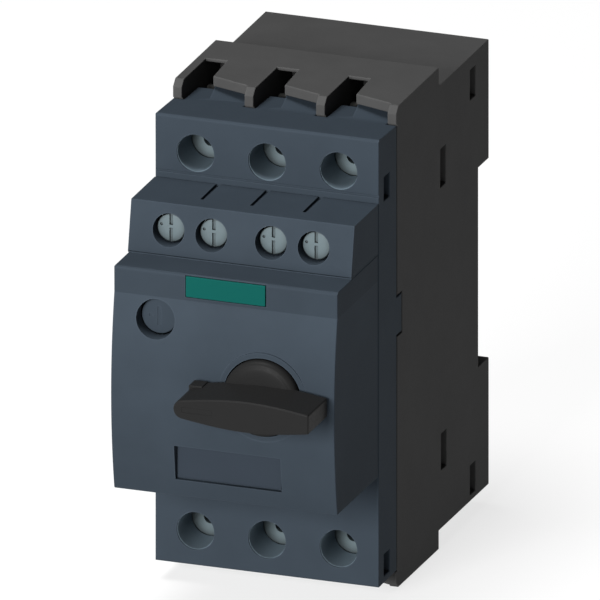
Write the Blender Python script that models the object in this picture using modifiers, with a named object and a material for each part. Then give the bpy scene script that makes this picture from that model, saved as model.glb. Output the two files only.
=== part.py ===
"""Three-pole motor protection breaker for a 35 mm rail, 45 x 97 x 97 mm.

Frame: X to the right, Y to the rear, Z up.  The origin lies on the rail's axis, in the plane
that the rail seats against, midway between the two sides.  Named sizes are in millimetres.
"""

import math

import bmesh
import bpy
from mathutils import Matrix, Vector

MM = 0.001

# --- Overall sizes and walls ---------------------------------------------------------------
WIDTH = 45.0
HEIGHT = 97.0
SIDE_WALL = 1.8
WALL = 2.0
GAP = 0.3
FREE = 5.0  # how far a cutter runs past the face it enters by

HALF = WIDTH / 2
TOP = HEIGHT / 2
POLE_PITCH = (WIDTH - SIDE_WALL) / 3
POLE_ROOM = POLE_PITCH - SIDE_WALL
POLE_X = (-POLE_PITCH, 0.0, POLE_PITCH)
IN_POLE = POLE_ROOM / 2 - GAP  # half-width of a piece guided by a pole's side walls

# --- Base housing: depths are Y, negative towards the front ---------------------------------
REAR_Y = 5.3
SEAT_PAD = 0.5
BODY_FRONT_Y = -45.4
FIN_FRONT_Y = -46.0
FIN_HEIGHT = 3.5
FIN_CHAMFER = 1.3
STEP_Y = -22.3
STEP_DROP = 3.7
TOP_PLATE = 3.4
CHAMBER_BACK_Y = -2.0
RECESS_TOP = 20.8
RECESS_BOTTOM = -19.2
RAIL_HALF = 17.5
HOOK_GRIP = 1.2
HOOK_Y = (1.3, 3.3)
HOOK_HALF = 16.0
NOTCH_BACK_Y = -32.5
TAB_CORNER_Y = -41.5
TAB_TIP_Y = -44.0
TAB_INSET = 2.1
TAB_THICK = 2.0
TAB_RELIEF_Y = -36.0  # where the tabs' thinner front part starts
RAMP_TOP_Y = -40.5
RAMP_FOOT_Y = -44.8
RAMP_ROOT = 0.6
LIP = 0.5  # thickness of the end plate along the rear edge of a wire entry
LIP_RUN = 8.0
TAB_CORNER_INSET = 1.6
POCKET_DEPTH = 1.2
POCKET_WIDTH = 3.1
BASE_POCKETS = ((-5.1, 36.0, 42.0), (-21.5, 24.0, 31.7), (-21.1, -33.0, -25.7), (-5.1, -43.5, -37.6))
SEAT_PAD_HALF = 12.0

# --- Front housing ---------------------------------------------------------------------------
TERMINAL_FACE_Y = -55.7
HOUSING_TOP = TOP - 3.3
HOUSING_BOTTOM = -TOP + 3.5
EDGE_CHAMFER = 0.4
FLOOR_FALL = 0.04  # how steeply the terminal blocks' tops fall towards the rear
SLAB_BACK_Y = -34.0
WIRE_HOLE_FRONT_Y = -37.6
PARTING_LINE_Z = 33.8
PARTING_LINE = 0.25
FRONT_POCKETS = ((-52.7, 32.0, 36.7), (-52.7, -43.5, -39.2))
TONGUE_Z = (2.5, 10.2)
TONGUE_BACK_Y = -42.9
TONGUE_THICK = 0.7

# --- Terminals ---------------------------------------------------------------------------------
TERMINAL_DROP = 10.5
TERMINAL_Z = TOP - TERMINAL_DROP
ACCESS_RADIUS = 3.8
SCREW_HEAD_Y = -47.2
SCREW_HEAD_RADIUS = 4.2
SCREW_HEAD = 2.6
SCREW_RADIUS = 2.0
SCREW_TIP_Y = -38.5
DRIVE_SLOT = (0.9, 3.0, 1.3)  # width, half-length, depth
SADDLE = 0.9
SADDLE_CLEAR = 0.13  # between a saddle and the slab over it
CLAMP_TRAVEL = 4.2  # six turns of an M4 thread
SADDLE_Y = SCREW_TIP_Y + GAP
BAR_FACE_Y = SADDLE_Y + SADDLE + CLAMP_TRAVEL + GAP
BAR = 1.4
BAR_END = 5.0  # how far a bar's terminal plate runs above and below its screw

# --- Contacts, carrier and trips --------------------------------------------------------------
CONTACT_Z = 10.0
CONTACT_HALF = 2.0
CONTACT_TIP = 1.2
BRIDGE_TIP = 0.6
BRIDGE = 1.0
CONTACT_GAP = 3.0
CONTACT_TRAVEL = 2.8
BAR_DROP_Y = -23.4  # front face of a bar's inner leg
FIXED_CONTACT_Y = BAR_DROP_Y - CONTACT_TIP
BRIDGE_Y = FIXED_CONTACT_Y - CONTACT_GAP - BRIDGE_TIP
CARRIER_BAR_Y = (-36.5, -31.5)
CARRIER_BOTTOM = -4.0
CARRIER_TOP = 7.6
CARRIER_HALF = POLE_X[2] + IN_POLE - 0.6
POST_HALF = 4.4
BRIDGE_HALF = 3.0
ARM_Y = -44.0
ARM_THICK = 2.0
ARM_HALF = 2.0
COIL_Z = -22.0
COIL_Y = (-21.4, -9.0)
COIL_BORE = 2.3
PLUNGER_RADIUS = COIL_BORE - GAP
PLUNGER_Y = (-25.2, -10.0)
BIMETAL_TIP_Z = -12.0
BIMETAL = 0.8
BIMETAL_Y = -4.6
TRIP_SLIDE_Y = (-7.4, -5.4)
TRIP_SLIDE_Z = (-11.5, -8.0)
TRIP_TRAVEL = 1.2
CHUTE_Y = (-35.2, -24.8)
CHUTE_Z = (14.5, 31.0)
CHUTE_PLATES = 6
CHUTE_PLATE = 0.8
RAIL_LATCH_HALF = 8.0
RAIL_LATCH_LENGTH = 12.0
RAIL_LATCH_TRAVEL = 3.0

# --- Front cover, knob and setting dial ---------------------------------------------------------
COVER_TOP = 22.3
COVER_BOTTOM = -22.5
COVER_FACE_Y = -78.5
COVER_CREASE = 17.0
COVER_BULGE = 1.8
COVER_INNER_Y = -76.5
KNOB_X = 8.0
KNOB_DISC = 8.3
KNOB_DISC_Y = -82.2
KNOB_DISC_BACK_Y = -77.2
KNOB_HUB = 5.0
KNOB_HUB_Y = -74.6
HANDLE_FACE_Y = -91.7
HANDLE_BACK_Y = -81.0
HANDLE_LEFT = 13.8
HANDLE_RIGHT = 13.4
HANDLE_END = 1.9
HANDLE_MIDDLE = 3.1
SHAFT_SQUARE = 1.9
SHAFT_TIP_Y = -87.6
SHAFT_RADIUS = 2.9
CAM_Y = -63.3
CAM_THICK = 2.0
CAM_RADIUS = 7.6
CAM_LOBE = 1.7
FOLLOWER_Z = 6.0
FOLLOWER_HALF = (1.0, 1.5)
FOLLOWER_Y = CAM_Y + CAM_THICK + GAP
PADLOCK_SLIDE = (-4.1, 2.0)
PADLOCK_HALF = 0.5
PADLOCK_END_Y = -82.9
PADLOCK_EYE = 2.0
DIAL_X = -13.9
DIAL_Z = 12.7
DIAL_HOLE = 3.9
DIAL_Y = (-77.0, -74.0)
DIAL_STEM = 1.4
DIAL_STEM_Y = -54.0
PLATE_HALF = 8.0
PLATE_Z = (17.8, 21.9)
PLATE_THICK = 0.5
PLATE_PROUD = 0.2
LABEL_X = (-9.9, 11.5)
LABEL_Z = (-19.0, -12.0)
LABEL_RECESS = 0.7
LABEL_THICK = 0.3
LATCH_CLEAR = 0.7
LATCH_X = (-6.0, HALF - SIDE_WALL - LATCH_CLEAR)
LATCH_HALF = 14.0
LATCH_Y = (-74.0, -56.0)
LATCH_PLATE = 1.4

# --- Auxiliary switch block --------------------------------------------------------------------
AUX_BOTTOM = COVER_TOP + GAP
AUX_TOP = 32.5
AUX_TOP_Y = -69.0
AUX_FACE_Y = -70.8
AUX_ROOM_Z = (24.3, 30.8)
AUX_ROOM_Y = -66.4
AUX_SCREW_X = (-14.6, -6.0, 6.0, 14.6)
AUX_SCREW_Z = 27.4
AUX_HOLE = 3.2
AUX_HEAD_RADIUS = 2.85
AUX_HEAD_Y = (-68.5, -66.9)
AUX_SCREW_RADIUS = 1.3
AUX_SCREW_TIP_Y = -62.7
AUX_CLAMP = 0.7
AUX_CLAMP_HALF = 2.7
AUX_TRAVEL = 1.0  # two turns of an M3 thread
AUX_CLAMP_Y = AUX_HEAD_Y[1] + GAP + GAP
AUX_BAR_Y = AUX_CLAMP_Y + AUX_CLAMP + AUX_TRAVEL + GAP
AUX_BAR = 0.8
AUX_BRIDGE = 0.8
AUX_BRIDGE_Y = -60.6
AUX_ROD_HALF = 1.2
AUX_ROD_Y = -62.0
GROOVE_X = (-9.7, 0.3, 10.9)
GROOVE = (0.8, 0.6, -65.0)  # width, depth, front end

# --- Finishes: colour, roughness, metallic ------------------------------------------------------
DARK_PLASTIC = ((47, 47, 47), 0.55, 0.0)
GREY_PLASTIC = ((68, 76, 85), 0.5, 0.0)
BLACK_PLASTIC = ((40, 40, 40), 0.4, 0.0)
TEAL_PLASTIC = ((22, 101, 92), 0.4, 0.0)
WHITE_PLASTIC = ((190, 192, 190), 0.5, 0.0)
STEEL = ((135, 145, 152), 0.35, 1.0)
COPPER = ((184, 115, 80), 0.35, 1.0)
BIMETAL_STRIP = ((150, 140, 120), 0.4, 1.0)

parts = bpy.data.collections.new("motor_protection_breaker")
cutters = bpy.data.collections.new("cutters")


def clear_scene():
    for obj in list(bpy.data.objects):
        bpy.data.objects.remove(obj, do_unlink=True)
    for collection in (parts, cutters):
        bpy.context.scene.collection.children.link(collection)


def linear(value):
    level = value / 255
    return level / 12.92 if level <= 0.04045 else ((level + 0.055) / 1.055) ** 2.4


def finish(obj, look):
    """Give a piece a material of its own."""
    colour, roughness, metallic = look
    material = bpy.data.materials.new(obj.name)
    material.use_nodes = True
    shader = material.node_tree.nodes["Principled BSDF"]
    shader.inputs["Base Color"].default_value = (*(linear(c) for c in colour), 1.0)
    shader.inputs["Roughness"].default_value = roughness
    shader.inputs["Metallic"].default_value = metallic
    obj.data.materials.clear()
    obj.data.materials.append(material)
    return obj


def place(name, mesh, origin):
    """An object for a mesh whose corners are counted in metres from the given origin."""
    obj = bpy.data.objects.new(name, mesh)
    obj.location = Vector(origin) * MM
    parts.objects.link(obj)
    return obj


def solid(name, bm, origin):
    """An object from a bmesh drawn in the frame's millimetres."""
    bmesh.ops.translate(bm, verts=bm.verts, vec=-Vector(origin))
    bmesh.ops.scale(bm, verts=bm.verts, vec=(MM, MM, MM))
    bmesh.ops.recalc_face_normals(bm, faces=bm.faces)
    mesh = bpy.data.meshes.new(name)
    bm.to_mesh(mesh)
    bm.free()
    return place(name, mesh, origin)


def box(name, x, y, z, origin=(0, 0, 0)):
    """A block between two X values, two Y values and two Z values, each pair in either order."""
    size = [abs(pair[1] - pair[0]) for pair in (x, y, z)]
    middle = [(pair[0] + pair[1]) / 2 for pair in (x, y, z)]
    bm = bmesh.new()
    bmesh.ops.create_cube(bm, size=1.0, matrix=Matrix.Translation(middle) @ Matrix.Diagonal((*size, 1.0)))
    return solid(name, bm, origin)


def rod(name, centre, radius, y, sides=16, origin=(0, 0, 0)):
    """A round bar along Y about a centre given as (X, Z)."""
    middle = Vector((centre[0], (y[0] + y[1]) / 2, centre[1]))
    turn = Matrix.Rotation(math.pi / 2, 4, "X")
    bm = bmesh.new()
    bmesh.ops.create_cone(bm, cap_ends=True, segments=sides, radius1=radius, radius2=radius,
                          depth=abs(y[1] - y[0]), matrix=Matrix.Translation(middle) @ turn)
    return solid(name, bm, origin)


def evaluated_mesh(obj):
    graph = bpy.context.evaluated_depsgraph_get()
    return bpy.data.meshes.new_from_object(obj.evaluated_get(graph))


# The three ways that a flat outline can face: its own X, Y and thickness, as frame axes.
FACING = {
    "X": Matrix(((0, 0, 1, 0), (1, 0, 0, 0), (0, 1, 0, 0), (0, 0, 0, 1))),
    "Y": Matrix(((1, 0, 0, 0), (0, 0, -1, 0), (0, 1, 0, 0), (0, 0, 0, 1))),
    "Z": Matrix.Identity(4),
}


def plate(name, outline, axis, ends, origin=(0, 0, 0)):
    """A flat outline given thickness along one axis.

    The outline holds (Y, Z) points for X, (X, Z) points for Y and (X, Y) points for Z.
    """
    curve = bpy.data.curves.new(name, "CURVE")
    curve.dimensions = "2D"
    curve.fill_mode = "BOTH"
    curve.extrude = abs(ends[1] - ends[0]) / 2
    spline = curve.splines.new("POLY")
    spline.points.add(len(outline) - 1)
    for point, (u, v) in zip(spline.points, outline):
        point.co = (u, v, 0.0, 1.0)
    spline.use_cyclic_u = True
    drawing = bpy.data.objects.new(name + " drawing", curve)
    bpy.context.scene.collection.objects.link(drawing)
    mesh = evaluated_mesh(drawing)
    bpy.data.objects.remove(drawing, do_unlink=True)
    bm = bmesh.new()
    bm.from_mesh(mesh)
    bmesh.ops.remove_doubles(bm, verts=bm.verts, dist=0.001)
    middle = Vector((0, 0, 0))
    middle["XYZ".index(axis)] = (ends[0] + ends[1]) / 2
    bmesh.ops.transform(bm, verts=bm.verts, matrix=Matrix.Translation(middle) @ FACING[axis])
    return solid(name, bm, origin)


def turned(name, profile, centre, sides=32):
    """A turned piece about an axis along Y through (X, Z); the profile holds (radius, Y) points."""
    mesh = bpy.data.meshes.new(name)
    corners = [(radius * MM, y * MM, 0.0) for radius, y in profile]
    closed = profile[0][0] > 0 and profile[-1][0] > 0
    lines = [(i, i + 1) for i in range(len(profile) - 1)]
    if closed:
        lines.append((len(profile) - 1, 0))
    mesh.from_pydata(corners, lines, [])
    obj = place(name, mesh, (centre[0], 0.0, centre[1]))
    screw = obj.modifiers.new("turn", "SCREW")
    screw.axis = "Y"
    screw.steps = sides
    screw.render_steps = sides
    screw.use_merge_vertices = True
    screw.merge_threshold = 0.00001
    screw.use_normal_calculate = True
    return as_mesh(obj)


def as_mesh(obj):
    """Settle an object's modifiers into its mesh, with every face outward."""
    mesh = evaluated_mesh(obj)
    bm = bmesh.new()
    bm.from_mesh(mesh)
    bmesh.ops.recalc_face_normals(bm, faces=bm.faces)
    bm.to_mesh(mesh)
    bm.free()
    obj.modifiers.clear()
    obj.data = mesh
    return obj


def combine(target, tools, operation):
    for tool in tools:
        boolean = target.modifiers.new(tool.name, "BOOLEAN")
        boolean.operation = operation
        boolean.object = tool
        parts.objects.unlink(tool)
        cutters.objects.link(tool)
        tool.hide_render = True
        tool.display_type = "WIRE"
    return target


def cut(target, *tools):
    return combine(target, tools, "DIFFERENCE")


def join(target, *tools):
    return combine(target, tools, "UNION")


def mirrored(outline):
    """An outline of (Y, Z) or (X, Y) points with its second value's sign changed."""
    return [(u, -v) for u, v in reversed(outline)]


def copies(pattern, names, places, look):
    """Separate objects that share one finished mesh, each with its origin at its own place."""
    mesh = evaluated_mesh(pattern)
    bpy.data.objects.remove(pattern, do_unlink=True)
    made = []
    for name, origin in zip(names, places):
        obj = place(name, mesh, origin)
        made.append(obj)
    finish(made[0], look)
    return made


def carry(parent, *children):
    """Parent pieces to the piece that carries them, leaving them where they are."""
    for child in children:
        child.parent = parent
        child.matrix_parent_inverse = Matrix.Translation(-parent.location)


# --- Housings -------------------------------------------------------------------------------------
def side_pocket(name, y, bottom, top, side):
    """A shallow lightening pocket in one side face."""
    x = (side * (HALF - POCKET_DEPTH), side * (HALF + FREE))
    return box(name, x, (y, y + POCKET_WIDTH), (bottom, top))


def notch(name, centre, z):
    """The finger-wide wire entry beside a terminal's tab, cut through the housing's end plate."""
    left = centre - POLE_ROOM / 2
    right = centre + POLE_ROOM / 2
    outline = (
        (left, BODY_FRONT_Y - FREE),
        (right, BODY_FRONT_Y - FREE),
        (right, TAB_TIP_Y),
        (centre - TAB_CORNER_INSET, TAB_CORNER_Y),
        (centre - TAB_INSET, NOTCH_BACK_Y),
        (left, NOTCH_BACK_Y),
    )
    return plate(name, outline, "Z", z)


def lip_wedge(bottom):
    """What is taken from under the end plate behind a wire entry, down to the plate's inner face."""
    return (NOTCH_BACK_Y - GAP, TOP - LIP), (NOTCH_BACK_Y - GAP, bottom), (NOTCH_BACK_Y + LIP_RUN, bottom)


def base_housing():
    """Rear casing: rail recess, three pole chambers, and the finned ends with the wire entries."""
    rear_top = TOP - STEP_DROP
    front = (
        (BODY_FRONT_Y, TOP - FIN_HEIGHT),
        (FIN_FRONT_Y, TOP - FIN_HEIGHT),
        (FIN_FRONT_Y, TOP - FIN_CHAMFER),
        (FIN_FRONT_Y + FIN_CHAMFER, TOP),
        (STEP_Y, TOP),
        (STEP_Y, rear_top),
        (REAR_Y, rear_top),
    )
    recess = ((REAR_Y, RECESS_TOP), (-SEAT_PAD, RECESS_TOP), (-SEAT_PAD, RECESS_BOTTOM), (REAR_Y, RECESS_BOTTOM))
    base = plate("base_housing", [*front, *recess, *mirrored(front)], "X", (-HALF, HALF))
    join(base, box("seat pad", (-HALF + WALL, HALF - WALL), (-SEAT_PAD - WALL / 2, 0.0),
                   (-SEAT_PAD_HALF, SEAT_PAD_HALF)))
    grip = RAIL_HALF - HOOK_GRIP
    join(base, box("rail hook", (-HOOK_HALF, HOOK_HALF), HOOK_Y, (grip, RECESS_TOP + WALL)))

    chamber_top = TOP - TOP_PLATE
    rear_chamber = rear_top - WALL
    upper = (
        (BODY_FRONT_Y - FREE, chamber_top),
        (STEP_Y - WALL, chamber_top),
        (STEP_Y - WALL, rear_chamber),
        (CHAMBER_BACK_Y, rear_chamber),
    )
    for number, centre in enumerate(POLE_X, 1):
        sides = (centre - POLE_ROOM / 2, centre + POLE_ROOM / 2)
        cut(base, plate(f"chamber {number}", [*upper, *mirrored(upper)], "X", sides))
        cut(base, notch(f"upper notch {number}", centre, (chamber_top - GAP, TOP + FREE)))
        cut(base, notch(f"lower notch {number}", centre, (-TOP - FREE, -chamber_top + GAP)))
        relief_y = (BODY_FRONT_Y - FREE, TAB_RELIEF_Y)
        cut(base, box(f"upper tab relief {number}", sides, relief_y, (chamber_top - GAP, TOP - TAB_THICK)))
        cut(base, box(f"lower tab relief {number}", sides, relief_y, (TAB_THICK - TOP, GAP - chamber_top)))
        entry = (sides[0], centre - TAB_INSET)
        wedge = lip_wedge(chamber_top - GAP)
        cut(base, plate(f"upper lip wedge {number}", wedge, "X", entry))
        cut(base, plate(f"lower lip wedge {number}", mirrored(wedge), "X", entry))

    across = POLE_PITCH / 2 + SIDE_WALL
    carrier_end = CARRIER_BAR_Y[1] + CONTACT_TRAVEL + GAP
    cut(base, box("carrier slot", (-across, across), (BODY_FRONT_Y - FREE, carrier_end),
                  (CARRIER_BOTTOM - GAP, CARRIER_TOP + GAP)))
    cut(base, box("trip slot", (-across, across), (TRIP_SLIDE_Y[0] - GAP, TRIP_SLIDE_Y[1] + GAP),
                  (TRIP_SLIDE_Z[0] - GAP, TRIP_SLIDE_Z[1] + GAP)))
    latch_room = RAIL_LATCH_HALF + GAP
    cut(base, box("rail latch slot", (-latch_room, latch_room), (HOOK_Y[0] - GAP, HOOK_Y[1] + GAP),
                  (-grip - RAIL_LATCH_LENGTH - RAIL_LATCH_TRAVEL - GAP, RECESS_BOTTOM + WALL)))
    for side in (-1, 1):
        for number, pocket in enumerate(BASE_POCKETS, 1):
            cut(base, side_pocket(f"side pocket {number} {side}", *pocket, side))
        recess_x = (side * (HALF - TONGUE_THICK - GAP), side * (HALF + FREE))
        cut(base, box(f"tongue recess {side}", recess_x, (BODY_FRONT_Y - FREE, TONGUE_BACK_Y + GAP),
                      (TONGUE_Z[0] - GAP, TONGUE_Z[1] + GAP)))
    return finish(base, DARK_PLASTIC)


def floor_z(y):
    """Height of the upper terminal blocks' top, which falls slightly from the front to the rear."""
    return HOUSING_TOP - FLOOR_FALL * (y - TERMINAL_FACE_Y)


def front_housing():
    """Middle casing: both rows of terminal blocks and the wall that the switching parts stand on."""
    back = BODY_FRONT_Y - GAP
    chamfer = EDGE_CHAMFER
    face = TERMINAL_FACE_Y
    outline = (
        (back, floor_z(back)),
        (back, -floor_z(back)),
        (face + chamfer, HOUSING_BOTTOM),
        (face, HOUSING_BOTTOM + chamfer),
        (face, HOUSING_TOP - chamfer),
        (face + chamfer, HOUSING_TOP),
    )
    front = plate("front_housing", outline, "X", (-HALF, HALF))
    inner_face = face + WALL
    room_back = back + FREE
    head_y = (SCREW_HEAD_Y - GAP, SCREW_HEAD_Y + SCREW_HEAD + CLAMP_TRAVEL + GAP)
    side_room = HALF - SIDE_WALL
    middle_z = (COVER_BOTTOM + SIDE_WALL, AUX_TOP - SIDE_WALL)
    cut(front, box("middle room", (-side_room, side_room), (inner_face, room_back), middle_z))
    room_top = floor_z(back) - SIDE_WALL
    upper_room = (AUX_TOP + GAP, room_top)
    lower_room = (-room_top, COVER_BOTTOM - GAP)
    for number, centre in enumerate(POLE_X, 1):
        sides = (centre - POLE_ROOM / 2, centre + POLE_ROOM / 2)
        cut(front, box(f"upper room {number}", sides, (inner_face, room_back), upper_room))
        cut(front, box(f"lower room {number}", sides, (inner_face, room_back), lower_room))
    for number, centre in enumerate(POLE_X, 1):
        inside = (centre - IN_POLE, centre + IN_POLE)
        wire_hole = (centre - POLE_ROOM / 2 - GAP, centre - TAB_CORNER_INSET - GAP)
        start = back - WALL
        slab = (
            (start, floor_z(start)), (SLAB_BACK_Y, floor_z(SLAB_BACK_Y)),
            (SLAB_BACK_Y, floor_z(SLAB_BACK_Y) - SIDE_WALL), (start, room_top),
        )
        ramp_top = TOP - TAB_THICK - GAP
        ramp_back = TAB_RELIEF_Y - GAP
        ramp = (
            (ramp_back, floor_z(ramp_back) - RAMP_ROOT), (ramp_back, ramp_top), (RAMP_TOP_Y, ramp_top),
            (RAMP_FOOT_Y, floor_z(RAMP_FOOT_Y) - RAMP_ROOT),
        )
        under_tab = (centre - TAB_CORNER_INSET, centre + IN_POLE - GAP)
        hole_y = (WIRE_HOLE_FRONT_Y, SLAB_BACK_Y + FREE)
        join(front, plate(f"upper slab {number}", slab, "X", inside))
        join(front, plate(f"lower slab {number}", mirrored(slab), "X", inside))
        join(front, plate(f"upper ramp {number}", ramp, "X", under_tab))
        join(front, plate(f"lower ramp {number}", mirrored(ramp), "X", under_tab))
        cut(front, box(f"upper wire hole {number}", wire_hole, hole_y, (room_top - FREE, HOUSING_TOP + FREE)))
        cut(front, box(f"lower wire hole {number}", wire_hole, hole_y, (-room_top + FREE, HOUSING_BOTTOM - FREE)))
        for name, z in (("upper", TERMINAL_Z), ("lower", -TERMINAL_Z)):
            cut(front, rod(f"{name} screw hole {number}", (centre, z), ACCESS_RADIUS,
                           (face - FREE, inner_face + GAP), 32))
            cut(front, rod(f"{name} head room {number}", (centre, z), SCREW_HEAD_RADIUS + GAP, head_y, 32))
    through = (face - FREE, inner_face + GAP)
    rod_room = AUX_ROD_HALF + GAP
    cut(front, box("switch rod hole", (-rod_room, rod_room), through, (AUX_SCREW_Z - rod_room, AUX_SCREW_Z + rod_room)))
    cut(front, rod("dial stem hole", (DIAL_X, DIAL_Z), DIAL_STEM + GAP, through, 16))
    follower_x = FOLLOWER_HALF[0] + GAP
    follower_z = FOLLOWER_HALF[1] + GAP
    cut(front, box("follower hole", (KNOB_X - follower_x, KNOB_X + follower_x), through,
                   (FOLLOWER_Z - follower_z, FOLLOWER_Z + follower_z)))
    line = PARTING_LINE
    cut(front, box("parting line", (-HALF - FREE, HALF + FREE), (face - FREE, face + line),
                   (PARTING_LINE_Z - line / 2, PARTING_LINE_Z + line / 2)))
    for side in (-1, 1):
        join(front, box(f"snap tongue {side}", (side * (HALF - TONGUE_THICK), side * HALF),
                        (back - WALL, TONGUE_BACK_Y), TONGUE_Z))
        for number, pocket in enumerate(FRONT_POCKETS, 1):
            cut(front, side_pocket(f"front side pocket {number} {side}", *pocket, side))
    return finish(front, GREY_PLASTIC)


def bulge(steps=12):
    """The cover's slightly bowed face as (Y, Z) points, from its crease down to its lower edge."""
    half_chord = (COVER_CREASE - COVER_BOTTOM) / 2
    radius = (half_chord ** 2 + COVER_BULGE ** 2) / (2 * COVER_BULGE)
    swing = math.asin(half_chord / radius)
    middle = (COVER_CREASE + COVER_BOTTOM) / 2
    centre_y = COVER_FACE_Y - COVER_BULGE + radius
    turns = [swing * (1 - 2 * i / steps) for i in range(steps + 1)]
    return [(centre_y - radius * math.cos(a), middle + radius * math.sin(a)) for a in turns]


def front_cover():
    """Hinge-free front cap with the openings for the knob and the setting dial."""
    back = TERMINAL_FACE_Y - GAP
    chamfer = EDGE_CHAMFER
    outline = [
        (back, COVER_TOP),
        (COVER_FACE_Y + chamfer, COVER_TOP),
        (COVER_FACE_Y, COVER_TOP - chamfer),
        *bulge(),
        (back, COVER_BOTTOM),
    ]
    cover = plate("front_cover", outline, "X", (-HALF, HALF))
    side_room = HALF - SIDE_WALL
    cut(cover, box("cover room", (-side_room, side_room), (COVER_INNER_Y, back + FREE),
                   (COVER_BOTTOM + SIDE_WALL, COVER_TOP - SIDE_WALL)))
    through = (COVER_FACE_Y - FREE, COVER_INNER_Y + GAP)
    cut(cover, rod("knob opening", (KNOB_X, 0.0), KNOB_DISC + 2 * GAP, through, 48))
    cut(cover, rod("dial opening", (DIAL_X, DIAL_Z), DIAL_HOLE, through, 32))
    cut(cover, box("name plate seat", (-PLATE_HALF - GAP / 2, PLATE_HALF + GAP / 2),
                   (COVER_FACE_Y - FREE, COVER_FACE_Y - PLATE_PROUD + PLATE_THICK + GAP),
                   (PLATE_Z[0] - GAP / 2, PLATE_Z[1] + GAP / 2)))
    cut(cover, box("label seat", LABEL_X, (COVER_FACE_Y - FREE, label_seat_y()), LABEL_Z))
    return finish(cover, GREY_PLASTIC)


def label_seat_y():
    """The bottom of the label's recess, below the lowest point of the bowed face that it spans."""
    return COVER_FACE_Y - GAP + LABEL_RECESS


def name_plate():
    front = COVER_FACE_Y - PLATE_PROUD
    return finish(box("name_plate", (-PLATE_HALF, PLATE_HALF), (front, front + PLATE_THICK), PLATE_Z), TEAL_PLASTIC)


def inscription_label():
    seat = label_seat_y() - GAP / 2
    x = (LABEL_X[0] + GAP, LABEL_X[1] - GAP)
    z = (LABEL_Z[0] + GAP, LABEL_Z[1] - GAP)
    return finish(box("inscription_label", x, (seat - LABEL_THICK, seat), z), GREY_PLASTIC)


def aux_switch_housing():
    """Plug-in auxiliary switch block above the cover, with a leaning face and four screw holes."""
    back = TERMINAL_FACE_Y - GAP
    outline = (
        (back, AUX_TOP),
        (back, AUX_BOTTOM),
        (AUX_FACE_Y, AUX_BOTTOM),
        (AUX_FACE_Y, AUX_BOTTOM + 2 * GAP),
        (AUX_TOP_Y, AUX_TOP),
    )
    block = plate("aux_switch_housing", outline, "X", (-HALF, HALF))
    side_room = HALF - SIDE_WALL
    cut(block, box("switch room", (-side_room, side_room), (AUX_ROOM_Y, back + FREE), AUX_ROOM_Z))
    for number, x in enumerate(AUX_SCREW_X, 1):
        cut(block, rod(f"switch screw hole {number}", (x, AUX_SCREW_Z), AUX_HOLE, (AUX_FACE_Y - FREE, AUX_ROOM_Y + GAP), 32))
    width, depth, start = GROOVE
    for number, x in enumerate(GROOVE_X, 1):
        cut(block, box(f"top groove {number}", (x - width / 2, x + width / 2), (start, back + FREE),
                       (AUX_TOP - depth, AUX_TOP + FREE)))
    return finish(block, GREY_PLASTIC)


# --- Knob, shaft, cam and dial ----------------------------------------------------------------------
def knob_outline(steps=10):
    """The handle seen from the front: swelling in the middle, round at its pointer end."""
    left = KNOB_X - HANDLE_LEFT + HANDLE_END
    right = KNOB_X + HANDLE_RIGHT
    swell = HANDLE_MIDDLE - HANDLE_END
    upper = []
    for i in range(steps + 1):
        share = i / steps
        upper.append((left + (right - left) * share, HANDLE_END + swell * math.sin(math.pi * share)))
    nose = []
    for i in range(1, 6):
        angle = math.pi / 2 + math.pi * i / 6
        nose.append((left + HANDLE_END * math.cos(angle), -HANDLE_END * math.sin(angle)))
    lower = [(x, -z) for x, z in reversed(upper)]
    return [*upper, *lower, *nose]


def rotary_knob():
    """Rotary handle: a bar on a domed disc, bored square for the shaft."""
    axis = (KNOB_X, 0.0, 0.0)
    rim = 0.9
    profile = (
        (0.0, KNOB_DISC_Y),
        (KNOB_DISC * 0.6, KNOB_DISC_Y + 0.15),
        (KNOB_DISC - rim, KNOB_DISC_Y + 0.5),
        (KNOB_DISC, KNOB_DISC_Y + rim + 0.5),
        (KNOB_DISC, KNOB_DISC_BACK_Y),
        (KNOB_HUB, KNOB_DISC_BACK_Y),
        (KNOB_HUB, KNOB_HUB_Y),
        (0.0, KNOB_HUB_Y),
    )
    knob = turned("rotary_knob", profile, (KNOB_X, 0.0), 48)
    join(knob, plate("handle", knob_outline(), "Y", (HANDLE_FACE_Y, HANDLE_BACK_Y), axis))
    bore = SHAFT_SQUARE + GAP
    cut(knob, box("shaft bore", (KNOB_X - bore, KNOB_X + bore), (SHAFT_TIP_Y - GAP, KNOB_HUB_Y + FREE), (-bore, bore), axis))
    slot_z = PADLOCK_HALF + GAP
    cut(knob, box("padlock slot", (PADLOCK_SLIDE[0] - GAP, PADLOCK_SLIDE[1] + GAP),
                  (HANDLE_FACE_Y - FREE, PADLOCK_END_Y + GAP), (-slot_z, slot_z), axis))
    return finish(knob, BLACK_PLASTIC)


def padlock_slide():
    """Flat bar that pulls out of the handle and shows an eye for a padlock."""
    middle = (PADLOCK_SLIDE[0] + PADLOCK_SLIDE[1]) / 2
    slide = box("padlock_slide", PADLOCK_SLIDE, (HANDLE_FACE_Y, PADLOCK_END_Y), (-PADLOCK_HALF, PADLOCK_HALF),
                (middle, PADLOCK_END_Y, 0.0))
    outline = [(middle + PADLOCK_EYE * math.cos(a), PADLOCK_END_Y - 3.6 + PADLOCK_EYE * math.sin(a))
               for a in (math.tau * i / 20 for i in range(20))]
    cut(slide, plate("padlock eye", outline, "Z", (-FREE, FREE)))
    return finish(slide, BLACK_PLASTIC)


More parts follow.
